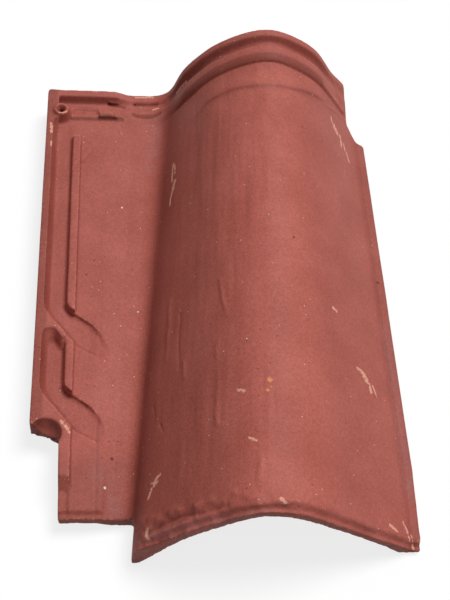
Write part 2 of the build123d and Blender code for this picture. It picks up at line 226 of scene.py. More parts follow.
LINE_BEND = np.array((1.6, 0.48, 0.0))
LINE_BEND_CELLS = 13.0

# Bites out of the clay: the depth of each, its radius and its middle, and how rough they are
CHIPS = (
    (1.6, 5.0, (260.0, 426.0, 52.0)),
    (1.0, 3.0, (267.2, 427.0, 41.0)),
    (1.2, 3.0, (20.5, 90.5, 9.0)),
    (1.4, 3.5, (13.0, 92.0, 7.0)),
    (1.2, 3.0, (3.5, 96.0, 6.0)),
    (0.9, 2.5, (26.5, 95.5, 24.0)),
    (0.8, 2.0, (22.9, 29.0, 8.0)),
    (1.0, 2.2, (156.5, 7.5, 95.0)),
    (0.9, 2.5, (0.5, 425.0, 24.0)),
)
CHIP_ROUGHNESS = 0.6
CHIP_CELLS = 2.5

# Pale scuffs, where the fired face is rubbed off, and a painted highlight up the roll's curve at the
# head: half width and the middle line of each
SCUFFS = (
    (4.4, (246.4, 363.6, 56.4), (248.6, 360.6, 53.0)),
    (1.9, (243.0, 371.0, 60.0), (243.6, 366.4, 59.4)),
    (2.3, (252.6, 360.2, 48.0), (253.2, 354.7, 47.1), (252.8, 350.0, 47.6)),
    (1.8, (256.3, 355.4, 43.2), (256.8, 349.0, 42.6)),
    (1.7, (258.6, 348.0, 40.2), (260.6, 340.1, 38.0)),
    (1.6, (107.9, 332.5, 38.5), (106.4, 321.0, 38.0), (107.0, 314.3, 38.0)),
    (1.3, (109.1, 330.5, 40.1), (109.9, 325.0, 40.6), (109.0, 320.0, 41.0)),
    (2.4, (109.2, 311.5, 41.5), (107.4, 307.0, 40.4), (108.2, 303.5, 40.1)),
    (1.6, (107.2, 302.3, 39.1), (104.2, 296.0, 38.2), (104.9, 289.3, 37.4)),
    (1.5, (93.6, 48.8, 43.6), (90.2, 46.2, 40.4), (89.4, 41.6, 39.0)),
    (1.6, (91.8, 43.6, 41.4), (87.4, 44.4, 37.6)),
    (1.3, (87.8, 40.5, 37.6), (85.6, 34.0, 35.4)),
    (1.6, (85.4, 11.4, 36.0), (84.2, 7.8, 35.0), (85.8, 5.8, 36.4)),
    (3.3, (244.6, 124.6, 51.0), (247.4, 121.0, 48.4)),
    (1.8, (239.6, 127.2, 55.4), (244.0, 126.6, 51.6)),
    (2.0, (249.6, 119.0, 46.2), (250.4, 112.6, 45.4)),
    (1.4, (252.6, 118.8, 43.2), (255.2, 111.4, 40.8)),
    (1.5, (252.2, 11.4, 40.6), (257.7, 8.0, 36.1)),
    (1.5, (264.5, 17.0, 30.5), (267.0, 12.0, 28.0), (268.4, 5.7, 26.2)),
    (1.3, (270.0, 9.0, 24.0), (272.4, 1.4, 20.5)),
    (1.6, (4.3, 386.3, 24.5), (4.7, 376.5, 24.5)),
    (1.1, (5.0, 365.7, 24.5), (5.2, 361.2, 24.5)),
    (1.5, (11.5, 396.8, 27.0), (17.0, 398.0, 26.6)),
    (1.1, (77.6, 424.3, 19.6), (93.1, 424.6, 20.0)),
    # A painted highlight up the roll's curve at the head
    (1.3, (113.4, 416.0, 36.0), (117.0, 416.8, 42.6), (121.6, 416.6, 49.9)),
    (1.3, (93.1, 411.6, 17.7), (98.2, 412.2, 18.9)),
    (1.5, (22.8, 99.2, 24.0), (26.6, 95.2, 24.0), (29.2, 90.2, 24.0)),
    (1.4, (167.5, 8.1, 97.0), (170.3, 6.0, 96.7)),
    (1.6, (145.0, 90.5, 90.2), (149.0, 88.5, 92.0)),
    (1.2, (150.0, 52.7, 94.0), (154.8, 49.9, 95.3)),
    (1.9, (222.6, 168.5, 73.0), (225.2, 167.5, 71.0)),
)

# Grey bloom, partly a painted sheen: half width and the middle line of each patch
BLOOMS_AND_SHEEN = (
    (10.0, (96.0, 402.0, 18.0), (91.0, 345.0, 16.0)),
    (7.0, (273.0, 185.0, 24.0), (273.0, 40.0, 24.0)),
    (8.0, (78.0, 22.0, 28.0), (80.0, 2.0, 26.0)),
    (10.0, (50.0, 62.0, 14.6), (62.0, 36.0, 13.6)),
    (6.0, (84.0, 5.0, 36.0), (102.0, 4.0, 53.0), (121.0, 3.0, 70.0), (160.0, 2.0, 92.0)),
)

# Bare ochre spots, white lime spots, dark holes and dull spots: radius and middle of each
OCHRE_SPOTS = ((2.4, (166.4, 94.6, 97.6)), (1.6, (164.2, 86.6, 97.4)), (0.9, (166.6, 88.6, 97.6)))
WHITE_SPOTS = ((1.1, (66.1, 302.1, 16.0)), (0.9, (79.3, 199.9, 13.9)), (1.3, (55.4, 51.1, 14.5)),
               (0.7, (152.8, 128.8, 93.6)), (0.7, (23.3, 410.7, 17.4)))
DARK_HOLES = ((1.5, (60.1, 74.1, 13.0)), (1.1, (193.5, 217.3, 94.6)), (1.4, (274.0, 224.4, 24.0)),
              (1.0, (210.4, 332.3, 89.0)), (0.9, (135.1, 356.8, 72.9)), (0.8, (152.2, 127.3, 93.6)),
              (0.8, (158.5, 103.5, 96.0)), (0.9, (38.0, 233.0, 17.0)), (0.8, (44.0, 247.0, 17.0)),
              (1.5, (54.6, 417.0, 17.6)), (1.1, (77.0, 416.9, 17.5)))
DULL_SPOTS = ((2.6, (176.7, 234.5, 98.4)), (2.2, (164.8, 112.9, 97.4)), (2.4, (138.8, 44.5, 87.4)),
              (2.2, (116.7, 86.5, 67.1)))
MARKS = {"scuff": SCUFFS, "bloom_and_sheen": BLOOMS_AND_SHEEN, "bare": OCHRE_SPOTS, "lime": WHITE_SPOTS,
         "pit": DARK_HOLES}

# Lines of painted shade, along the fronts of the low head ribs, in pressed grooves and pits, along
# two faint lines in the pan near the nose and in a furrow across the nose's bevel: the share of the
# light clay that is left, half the width, and the points of each
SHADE_LINES = (
    (0.42, 3.0, ((46.5, 399.2, 19.5), (65.0, 399.6, 18.5))),
    (0.66, 2.2, ((22.0, 398.2, 18.4), (45.0, 398.4, 18.4))),
    (0.62, 1.5, ((53.8, 416.8, 17.6), (58.0, 416.0, 17.5), (67.5, 413.8, 17.4))),
    (0.78, 1.3, ((76.2, 416.9, 17.4), (96.0, 416.6, 18.8))),
    (0.72, 1.6, ((74.8, 406.5, 17.7), (78.0, 403.4, 17.4), (84.1, 402.0, 17.6), (92.0, 402.6, 18.4),
                 (99.0, 405.5, 20.5))),
    (0.80, 1.1, ((23.0, 409.2, 17.4), (43.0, 409.0, 17.4))),
    (0.76, 1.1, ((32.0, 411.5, 17.4), (32.0, 405.5, 17.4))),
    (0.70, 1.2, ((43.2, 413.0, 17.4), (43.8, 406.0, 17.4))),
    (0.84, 1.6, ((49.4, 104.0, 15.2), (49.4, 33.0, 15.2))),
    (0.86, 1.5, ((29.8, 62.0, 16.2), (29.8, 33.0, 16.2))),
    (0.80, 1.6, ((84.0, 9.0, 36.0), (99.0, 11.5, 52.0), (107.0, 11.5, 60.0), (121.0, 8.5, 73.0))),
)

# Boxes of painted shade and light, and a few that are only darker: the share of the light clay that
# is left, how softly it ends, and two corners
SHADE_AND_LIGHT_BOXES = (
    # Only darker: the pan's front, the lock's outer rim, its channel and the right flange
    (0.83, 14.0, (14.0, 30.0, 10.0), (72.0, 66.0, 20.0)),
    (0.74, 3.0, (-5.0, 100.0, 15.0), (7.5, 430.0, 30.0)),
    (0.92, 3.0, (13.0, 100.0, 10.0), (21.0, 392.0, 18.0)),
    (0.86, 4.0, (270.0, -5.0, 15.0), (290.0, 430.0, 30.0)),
    # Painted shade on the head rim's front, in the head groove and on the second head rib's front
    (0.76, 1.5, (5.0, 416.5, 17.0), (62.0, 420.5, 22.5)),
    (0.86, 1.5, (110.0, 414.5, 30.0), (262.0, 420.0, 110.0)),
    (0.66, 2.5, (118.0, 396.0, 42.0), (236.0, 400.0, 110.0)),
    # Painted light on the left of the roll's nose, and a painted sheen along the crown
    (1.50, 2.5, (72.0, -3.0, 10.0), (128.0, 5.0, 84.0)),
    (1.16, 25.0, (150.0, 20.0, 78.0), (196.0, 372.0, 112.0)),
    # Painted shade in the broken notch
    (0.58, 4.0, (2.0, 84.0, 4.0), (22.0, 98.0, 19.0)),
)

# How much painted shade darkens the hollows and the valley beside the roll, how much darker the dull
# spots are, the valley's span along the draw, and where a spot and a line of painted shade fade, as
# shares of their half width
HOLLOW_SHADE = 0.3
VALLEY_SHADE = 0.22
VALLEY_ACROSS = (-12.0, 4.0, 4.0, 20.0)
DULL_DARK = 0.16
SPOT_FADE = (0.5, 1.1)
LINE_FADE = (0.4, 1.2)

# The burnt streaks' span across the roll along the draw, where they also paint the shade of the
# roll's left flank darker and redder, how far its ends stray, and the size of the cells of the noise
# that they stray by
BURNT_ACROSS = (0.0, 12.0, 42.0, 78.0)
BURNT_STRAY = 9.0
BURNT_CELLS = 35.0

# How far an edge, paler from wear and a painted highlight, and a hollow, darker from painted shade,
# stand off their surroundings, from none of it to all of it, and the smoothing passes that the
# surroundings are found by
EDGE_STANDS = (0.25, 0.9)
HOLLOW_LIES = (0.1, 0.8)
SURROUNDING_PASSES = 10

# The farthest share of a mark's half width that is stored, and the one within which the mesh stays
# fine
FAR = 2.0
FINE = 1.8

# The material's noises: the size in millimetres, the detail and the roughness of each. The grain is
# sand of about half a millimetre, drawn twice as coarse so that it shows
NOISES = {
    "grain": (1.2, 3.0, 0.7),
    "sand": (2.6, 2.0, 0.6),
    "patch": (2.2, 4.0, 0.7),
    "lumps": (5.0, 3.0, 0.5),
    "mottle": (9.0, 3.0, 0.5),
    "clouds": (38.0, 4.0, 0.5),
}

# The streaks' width, and how much of it stretches them along the draw; the spacing of the scattered
# grains and holes, and how much of them shows; and the spacing of the cloth's threads, which is as
# coarse as it has to be to show
STREAK_WIDTH = 4.0
STREAK_STRETCH = 0.06
SPECK_SPACING = 5.5
SPECK_SHARE = 0.8
CLOTH_SPACING = 1.8

# Heights in the bump, in millimetres
GRAIN_HIGH = 0.22
CLOTH_HIGH = 0.05
LUMPS_HIGH = 0.25
STREAKS_HIGH = 0.20
HOLES_HIGH = -0.6
SCUFFS_HIGH = -0.12

# Points of the solid this near are one, in millimetres
SAME_PLACE = 0.001

# The camera's place, and its pitch below the horizon, its yaw to the right and its roll in radians
CAMERA_PLACE = Vector((-28.6, -465.1, 733.2)) * MM
CAMERA_PITCH = 0.99973
CAMERA_YAW = 0.08124
CAMERA_ROLL = 0.04126

# The way to the light, how much of it the floor gives back to the tile, and how far the floor
# reaches to each side, in metres
KEY_WAY = Vector((0.32, 0.22, 0.73))
FLOOR_RETURN = 0.25
FLOOR_REACH = 6.0


def linear(code):
    """An sRGB hex colour as linear red, green, blue and a full alpha."""
    shares = [int(code[place:place + 2], 16) / 255 for place in (1, 3, 5)]
    return tuple(share / 12.92 if share <= 0.04045 else ((share + 0.055) / 1.055) ** 2.4
                 for share in shares) + (1.0,)


class TileSettings(PropertyGroup):
    """What a user would change on the tile."""
    grid: FloatProperty(
        name="Grid", description="Spacing of the mesh before it is thinned",
        default=1.0 * MM, unit="LENGTH", precision=5)
    soft_passes: IntProperty(
        name="Soft edges", description="Smoothing passes that round the pressed edges",
        default=4, min=0)
    waviness: FloatProperty(
        name="Waviness", description="Height of the low waves in the pressed face",
        default=0.25 * MM, unit="LENGTH", precision=5)
    drag: FloatProperty(
        name="Drag marks", description="Height of the marks that the mould drags down the roll",
        default=0.30 * MM, unit="LENGTH", precision=5)
    arm_depth: FloatProperty(
        name="Arm depth", description="How much deeper the lock's arms are pressed",
        default=1.3 * MM, unit="LENGTH", precision=5)
    ragged: FloatProperty(
        name="Ragged edges", description="Depth of the crumbled clay along the cut edges",
        default=0.8 * MM, unit="LENGTH", precision=5)
    most_triangles: IntProperty(
        name="Triangles", description="Most triangles that the tile may have",
        default=190000, min=1000)
    clay: FloatVectorProperty(
        name="Clay", description="Colour of the fired clay face",
        subtype="COLOR", size=4, min=0, max=1, default=linear("#A6594E"))
    deep: FloatVectorProperty(
        name="Deep", description="Colour where the face is burnt darker",
        subtype="COLOR", size=4, min=0, max=1, default=linear("#9C5045"))
    # The burnt colour also tints the painted shade in hollows, grooves and on faces turned from the
    # light
    burnt: FloatVectorProperty(
        name="Burnt", description="Colour of the streaks down the roll's left flank and of soot",
        subtype="COLOR", size=4, min=0, max=1, default=linear("#7A3426"))
    # The bloom colour also paints a sheen in some of its patches
    bloom_and_sheen: FloatVectorProperty(
        name="Bloom", description="Colour of the grey bloom that salts leave",
        subtype="COLOR", size=4, min=0, max=1, default=linear("#A06A67"))
    # The pale colour also paints a highlight on sharp edges, besides their wear and the scuffs
    pale: FloatVectorProperty(
        name="Pale", description="Colour of the clay where the face is rubbed",
        subtype="COLOR", size=4, min=0, max=1, default=linear("#DDA18C"))
    ochre: FloatVectorProperty(
        name="Ochre", description="Colour of the bare spots",
        subtype="COLOR", size=4, min=0, max=1, default=linear("#D98A58"))
    lime: FloatVectorProperty(
        name="Lime", description="Colour of the lime grains",
        subtype="COLOR", size=4, min=0, max=1, default=linear("#F0E0D2"))
    hole: FloatVectorProperty(
        name="Hole", description="Colour inside the burnt-out holes",
        subtype="COLOR", size=4, min=0, max=1, default=linear("#4A211C"))


class StageSettings(PropertyGroup):
    """What a user would change on the stage."""
    lens: FloatProperty(
        name="Lens", description="Focal length for a 36 mm sensor along the long side",
        default=64.185)
    key: FloatProperty(
        name="Key light", description="Strength of the high soft light beyond the head",
        default=2.85)
    key_spread: FloatProperty(
        name="Key spread", description="How wide the high soft light looks",
        default=math.radians(28), subtype="ANGLE")
    fill: FloatProperty(
        name="Sky light", description="Strength of the even light from all round",
        default=0.22)
    shadow: FloatProperty(
        name="Floor shadow", description="How much of the tile's shadow the eye sees",
        default=0.2, min=0, max=1, subtype="FACTOR")
    floor: FloatVectorProperty(
        name="Floor", description="Colour of the floor",
        subtype="COLOR", size=4, min=0, max=1, default=linear("#FFFFFF"))


def laid(points):
    """World points in metres, turned back into the laid tile's frame in millimetres."""
    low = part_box(NODE)[0].x / MM
    across = math.cos(LEAN)
    rise = math.sin(LEAN)
    shift = TROUGH_FOOT * (1 - across) + EDGE_BOTTOM * rise - low
    run = points[:, 0] / MM + shift - TROUGH_FOOT
    up = points[:, 2] / MM
    x = TROUGH_FOOT + run * across - up * rise
    y = points[:, 1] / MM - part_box(NODE)[0].y / MM
    z = run * rise + up * across
    return np.stack([x, y, z], axis=1)


def lattice(points, size, seed):
    """Smooth noise from -1 to 1: at each corner of a lattice with cells of that size stands a hashed
    value, and between the corners the values are blended by 3t^2 - 2t^3 along each axis."""
    places = points / np.asarray(size)
    cell = np.floor(places).astype(np.int64)
    t = places - cell
    t = t * t * (3 - 2 * t)
    total = np.zeros(len(points))
    for corner in np.ndindex(2, 2, 2):
        at = cell + corner
        code = (at * (73856093, 19349663, 83492791)).T
        code = code[0] ^ code[1] ^ code[2] ^ (seed * 2654435761)
        code = (code ^ (code >> 13)) * 1274126177 & 0xFFFFFFFF
        code = (code ^ (code >> 16)) * 2246822519 & 0xFFFFFFFF
        value = ((code ^ (code >> 15)) & 0xFFFF) / 32767.5 - 1
        share = np.prod(np.where(corner, t, 1 - t), axis=1)
        total += value * share
    return total


def ramp(values, start, end):
    """0 up to the start, 1 from the end on, and a smooth 3t^2 - 2t^3 between."""
    t = np.clip((values - start) / (end - start), 0, 1)
    return t * t * (3 - 2 * t)


def between(values, span):
    """0 outside a span and 1 in its middle, with a smooth ramp at each end."""
    start, full, fading, gone = span
    return ramp(values, start, full) * (1 - ramp(values, fading, gone))


def mixed(points, noises):
    """Several noises added up, each by its share."""
    return sum(share * lattice(points, size, seed) for size, seed, share in noises)


def drawn(points):
    """Each point's place along the mould's draw: how far it is across the roll, as millimetres at
    the nose, so that the lines converge towards the head as the roll tapers, then y and z."""
    leg = LEG_NOSE + (LEG_HEAD - LEG_NOSE) * points[:, 1] / TILE_LENGTH
    share = (points[:, 0] - leg) / (FLANGE_LEFT - leg)
    return np.stack([share * (FLANGE_LEFT - LEG_NOSE), points[:, 1], points[:, 2]], axis=1)


def from_line(points, normals, line):
    """The distance from each point to a line of straight runs, or to the one point of a spot, seen
    square onto the clay there. Where a run lies REACH or more off the face, it is out of reach."""
    nearest = np.full(len(points), np.inf)
    ends = np.array(line if len(line) > 1 else (line[0], line[0]))
    for start, end in zip(ends[:-1], ends[1:]):
        run = end - start
        t = np.clip((points - start) @ run / max(run @ run, 1e-9), 0, 1)
        away = points - start - t[:, None] * run
        above = (away * normals).sum(axis=1)
        beside = np.linalg.norm(away - above[:, None] * normals, axis=1)
        nearest = np.minimum(nearest, np.where(np.abs(above) < REACH, beside, np.inf))
    return nearest


def arm_floors(points, normals):
    """1 on the floors of the two arms and 0 outside them: the lesser distance to the two walls as a
    smooth ramp, faded out where an arm runs out into the pan."""
    x, y, z = points.T
    floors = np.zeros(len(points))
    for start in ARM_STARTS:
        from_lower = y - start - np.interp(x, *np.array(ARM_LOWER).T)
        from_upper = start + np.interp(x, *np.array(ARM_UPPER).T) - y
        inside = ramp(np.minimum(from_lower, from_upper), 0, ARM_WALL)
        floors = np.maximum(floors, inside * between(x, ARM_ACROSS))
    lowest, highest = PAN_HEIGHTS
    return floors * ramp(normals[:, 2], *LEVEL) * (z > lowest) * (z < highest)


def raised_land(points):
    """1 on the low land beside the lock's inner rib, which ends halfway up the pan."""
    x, y, z = points.T
    return between(x, LAND_ACROSS) * (1 - ramp(y, *LAND_END)) * (z < PAN_HEIGHTS[1])


def past_step(points):
    """How far each point is past the soft step, towards the head."""
    return points[:, 1] - np.interp(points[:, 0], *np.array(CROWN_STEP).T)


def head_forms(points):
    """The round shoulder that the second head rib has on the roll, a quarter of an ellipse in place
    of a straight slope, and the soft step below it, which fades out towards the rib."""
    run = np.clip((RIB_TOP - points[:, 1]) / (RIB_TOP - RIB_FOOT), 0, 1)
    shoulder = RIB_HEIGHT * (np.sqrt(1 - run ** 2) - (1 - run))
    step = between(past_step(points), STEP_ALONG) * between(points[:, 0], STEP_ACROSS)
    return ramp(points[:, 2], *ROLL_FOOT) * (SHOULDER * shoulder + STEP_HEIGHT * step)


def drag_marks(points):
    """Marks that the mould drags down the roll's left flank: noise stretched along the draw, higher
    in patches."""
    lines = drawn(points)
    patches = DRAG_LEAST + ramp(lattice(lines, DRAG_PATCH, 3), *DRAG_EDGE)
    ended = 1 - ramp(points[:, 1], *DRAG_END)
    return mixed(lines, DRAG_WAVES) * patches * between(lines[:, 0], DRAG_ACROSS) * ended


def pressed_lines(points, normals):
    """The pressed lines as bell curves, a little bent, and uneven along their way."""
    uneven = 1 + LINE_UNEVEN * lattice(points, LINE_UNEVEN_CELLS, 6)
    bent = points + lattice(points, LINE_BEND_CELLS, 13)[:, None] * LINE_BEND
    height = np.zeros(len(points))
    for rise, width, line in PRESSED_LINES:
        height += rise * uneven * np.exp(-(from_line(bent, normals, line) / width) ** 2)
    return height


def wrinkles(points, normals):
    """Wrinkles in the bevel at the roll's nose, which is wider at the roll's left foot."""
    x, y = points[:, 0], points[:, 1]
    wide = 1 - ramp(x, *BEVEL_WIDE)
    start, end = (narrow + more * wide for narrow, more in BEVEL)
    bevel = (1 - ramp(y, start, end)) * (x > LEG_NOSE) * ramp(normals[:, 2], *BEVEL_FACE)
    return bevel * (1 + BEVEL_HIGHER * wide) * mixed(points, WRINKLES)


def crumbled(points, normals):
    """How deep the clay has crumbled along the nose, the pan's front and the broken notch, on faces
    that don't look up: noises without their signs, times how much each edge crumbles."""
    x, y = points[:, 0], points[:, 1]
    crumbs = sum(share * np.abs(lattice(points, size, seed)) for size, seed, share in CRUMBS)
    nose = 1 - ramp(y, *NOSE_EDGE)
    front = (1 - ramp(np.abs(y - PAN_FRONT), *FRONT_EDGE)) * (x < LEG_NOSE)
    notch = between(y, NOTCH_ALONG) * (x < NOTCH_RIGHT)
    amount = np.clip(EDGE_CRUMBLE * (nose + front) + NOTCH_CRUMBLE * notch, 0, MOST_CRUMBLE)
    return crumbs * (1 - ramp(normals[:, 2], *OVERHANG)) * amount


def chipped(points):
    """How deep the chips are: each a bowl of 1 - r^2, with a rough floor."""
    rough = 1 + CHIP_ROUGHNESS * lattice(points, CHIP_CELLS, 9)
    deep = np.zeros(len(points))
    for depth, radius, middle in CHIPS:
        reach = np.linalg.norm(points - middle, axis=1) / radius
        deep += depth * rough * np.clip(1 - reach ** 2, 0, 1)
    return deep


def relief(points, normals, settings):
    """How far each point of the clay stands out along its normal, in millimetres: low waves all
    over, drag marks down the roll, pressed lines, the forms of arms, land and ribs, wrinkles at the
    nose, crumbled edges and chips."""
    up = ramp(normals[:, 2], *UPWARD)
    arms = arm_floors(points, normals)
    wavy = WAVES_BELOW + (1 - WAVES_BELOW) * up
    height = settings.waviness / MM * mixed(points, LOW_WAVES) * wavy
    height += settings.drag / MM * drag_marks(points) * up
    height += pressed_lines(points, normals)
    height -= settings.arm_depth / MM * arms
    height += head_forms(points) * up
    height += LAND_HEIGHT * raised_land(points) * up * (1 - arms)
    height += wrinkles(points, normals)
    height -= settings.ragged / MM * crumbled(points, normals)
    return height - chipped(points)


def vectors(items, name):
    """One vector of each item, such as the coordinates of a mesh's points, as an array."""
    found = np.empty(len(items) * 3, dtype=np.float32)
    items.foreach_get(name, found)
    return found.reshape(-1, 3).astype(np.float64)


def store(mesh, name, values):
    """Stores a value for each point of the mesh or, where values has rows of three, a vector."""
    kind, field = ("FLOAT", "value") if values.ndim == 1 else ("FLOAT_VECTOR", "vector")
    attribute = mesh.attributes.new(name, kind, "POINT")
    attribute.data.foreach_set(field, values.astype(np.float32).ravel())


def roundness(mesh, passes):
    """How far each point stands out from its neighbours' mean after that many passes, in millimetres
    along its normal: above 0 on an edge, and below 0 in a hollow."""
    ends = np.empty(len(mesh.edges) * 2, dtype=np.int32)
    mesh.edges.foreach_get("vertices", ends)
    ends = ends.reshape(-1, 2)
    start = vectors(mesh.vertices, "co")
    count = np.bincount(ends.ravel(), minlength=len(start)).astype(float)[:, None]
    count[count == 0] = 1
    now = start
    for step in range(passes):
        total = np.stack([np.bincount(ends[:, 0], now[ends[:, 1], axis], len(start))
                          + np.bincount(ends[:, 1], now[ends[:, 0], axis], len(start))
                          for axis in range(3)], axis=1)
        now = total / count
    return ((start - now) * vectors(mesh.vertex_normals, "vector")).sum(axis=1) / MM


def turned(normals):
    """Normals in the world, turned back into the laid tile's frame."""
    across, rise = math.cos(LEAN), math.sin(LEAN)
    x, y, z = normals.T
    return np.stack([x * across - z * rise, y, x * rise + z * across], axis=1)


def work_clay(mesh, settings):
    """Gives the mesh its relief and the head its lift, keeps it all inside the solid's box, and
    stores the edges and hollows as attributes."""
    places = vectors(mesh.vertices, "co")
    normals = vectors(mesh.vertex_normals, "vector")
    where = laid(places)
    height = relief(where, turned(normals), settings)
    moved = places + normals * height[:, None] * MM
    lifted = ramp(where[:, 0], *LIFT_ACROSS) * ramp(where[:, 1], *LIFT_ALONG)
    moved[:, 2] += HEAD_LIFT * MM * lifted
    low, high = (np.array(corner) for corner in cad_box)
    moved = np.clip(moved, low, high)
    mesh.vertices.foreach_set("co", moved.astype(np.float32).ravel())
    mesh.update()
    bulge = roundness(mesh, SURROUNDING_PASSES)
    # Edges, which the material paints paler, partly as a highlight, and hollows, which get painted
    # shade
    store(mesh, "edge", ramp(bulge, *EDGE_STANDS))
    store(mesh, "hollow", ramp(-bulge, *HOLLOW_LIES))


def nearest_mark(points, normals, marks):
    """A share that is 0 on the middle line of the nearest mark, 1 at its edge and never above FAR:
    the distance from the middle line over the mark's half width."""
    nearest = np.full(len(points), FAR)
    for half_width, *line in marks:
        nearest = np.minimum(nearest, from_line(points, normals, line) / half_width)
    return nearest


def marked(mesh):
    """The points near a small mark, which keep their fine mesh so that the mark stays sharp."""
    places = laid(vectors(mesh.vertices, "co"))
    normals = turned(vectors(mesh.vertex_normals, "vector"))
    near = [nearest_mark(places, normals, marks) < FINE
            for name, marks in MARKS.items() if name != "bloom_and_sheen"]
    return np.flatnonzero(np.logical_or.reduce(near))


def light_left(mesh, places, normals):
    """The share of its light colour that the clay keeps at each point, after the painted shade in
    hollows and in the valley beside the roll, the darker dull spots, the lines of painted shade, the
    boxes of painted shade and light and the painted shade at the foot of the soft step: the product
    of what each leaves."""
    hollow = np.empty(len(places), dtype=np.float32)
    mesh.attributes["hollow"].data.foreach_get("value", hollow)
    # Painted shade in the hollows, then in the valley beside the roll
    left = 1 - HOLLOW_SHADE * hollow.astype(np.float64)
    left *= 1 - VALLEY_SHADE * between(drawn(places)[:, 0], VALLEY_ACROSS)
    left *= 1 - DULL_DARK * (1 - ramp(nearest_mark(places, normals, DULL_SPOTS), *SPOT_FADE))
    # Painted shade along lines, then painted shade and light in boxes
    for kept, width, line in SHADE_LINES:
        off = from_line(places, normals, line) / width
        left *= 1 - (1 - kept) * (1 - ramp(off, *LINE_FADE))
    for kept, soft, low, high in SHADE_AND_LIGHT_BOXES:
        inside = ramp(normals[:, 2], *SHADE_AND_LIGHT_FACE)
        for values, lowest, highest in zip(places.T, low, high):
            inside *= between(values, (lowest - soft, lowest, highest, highest + soft))
        left *= 1 - (1 - kept) * inside
    # Painted shade at the foot of the soft step
    foot = np.exp(-((past_step(places) + STEP_DARK_BELOW) / STEP_DARK_WIDTH) ** 2)
    foot *= between(places[:, 0], STEP_DARK_ACROSS) * ramp(places[:, 2], *STEP_DARK_FROM)
    return left * (1 - STEP_DARK * foot)


def mark_places(mesh):
    """Stores each point's share of the way across each kind of mark, its painted light and shade,
    how much of the burnt flank it has, whose streaks also paint that flank's shade, and its place in
    the laid tile's frame and along the mould's draw, in metres."""
    places = laid(vectors(mesh.vertices, "co"))
    normals = turned(vectors(mesh.vertex_normals, "vector"))
    light = light_left(mesh, places, normals)
    for name, marks in MARKS.items():
        store(mesh, name, nearest_mark(places, normals, marks))
    store(mesh, "light", light)
    across = drawn(places)[:, 0] + BURNT_STRAY * lattice(places, BURNT_CELLS, 12)
    store(mesh, "flank", between(across, BURNT_ACROSS))
    store(mesh, "laid", places * MM)
    store(mesh, "drawn", drawn(places) * MM)


def add(tree, kind, links=(), **settings):
    """Adds a node. settings are its own properties or, with a leading capital, inputs by name or
    in_0, in_1 by place. links are (input, source) pairs that lead into it, where a source is an
    output or a node, which stands for the first of its outputs that is in use."""
    node = tree.nodes.new(kind)
    for name, value in settings.items():
        if name.startswith("in_"):
            node.inputs[int(name[3:])].default_value = value
        elif name[0].isupper():
            node.inputs[name.replace("_", " ")].default_value = value
        else:
            setattr(node, name, value)
    for place, source in links:
        if isinstance(source, bpy.types.Node):
            source = next(output for output in source.outputs if output.enabled)
        tree.links.new(source, node.inputs[place])
    return node


# The kinds of node that the materials use most
STORED = "ShaderNodeAttribute"
NOISE = "ShaderNodeTexNoise"
RANGE = "ShaderNodeMapRange"
MATH = "ShaderNodeMath"
MIX = "ShaderNodeMix"


def empty_material(name):
    """A new material and its node tree, which is empty."""
    material = bpy.data.materials.new(name)
    material.use_nodes = True
    material.node_tree.nodes.clear()
    return material, material.node_tree


def grains(tree, place, radius, rarity):
    """Scattered round grains, with a radius in millimetres: one to a cell of SPECK_SPACING, of which
    all but a share are left out."""
    cells = add(tree, "ShaderNodeTexVoronoi", [("Vector", place)], Scale=1 / (SPECK_SPACING * MM))
    dot = add(tree, RANGE, [("Value", cells.outputs["Distance"])],
              From_Min=radius / SPECK_SPACING, From_Max=0.4 * radius / SPECK_SPACING)
    chance = add(tree, "ShaderNodeSeparateColor", [("Color", cells.outputs["Color"])])
    kept = add(tree, RANGE, [("Value", chance.outputs["Red"])],
               From_Min=rarity, From_Max=rarity + 0.1)
    return add(tree, MATH, [(0, dot), (1, kept)], operation="MULTIPLY")


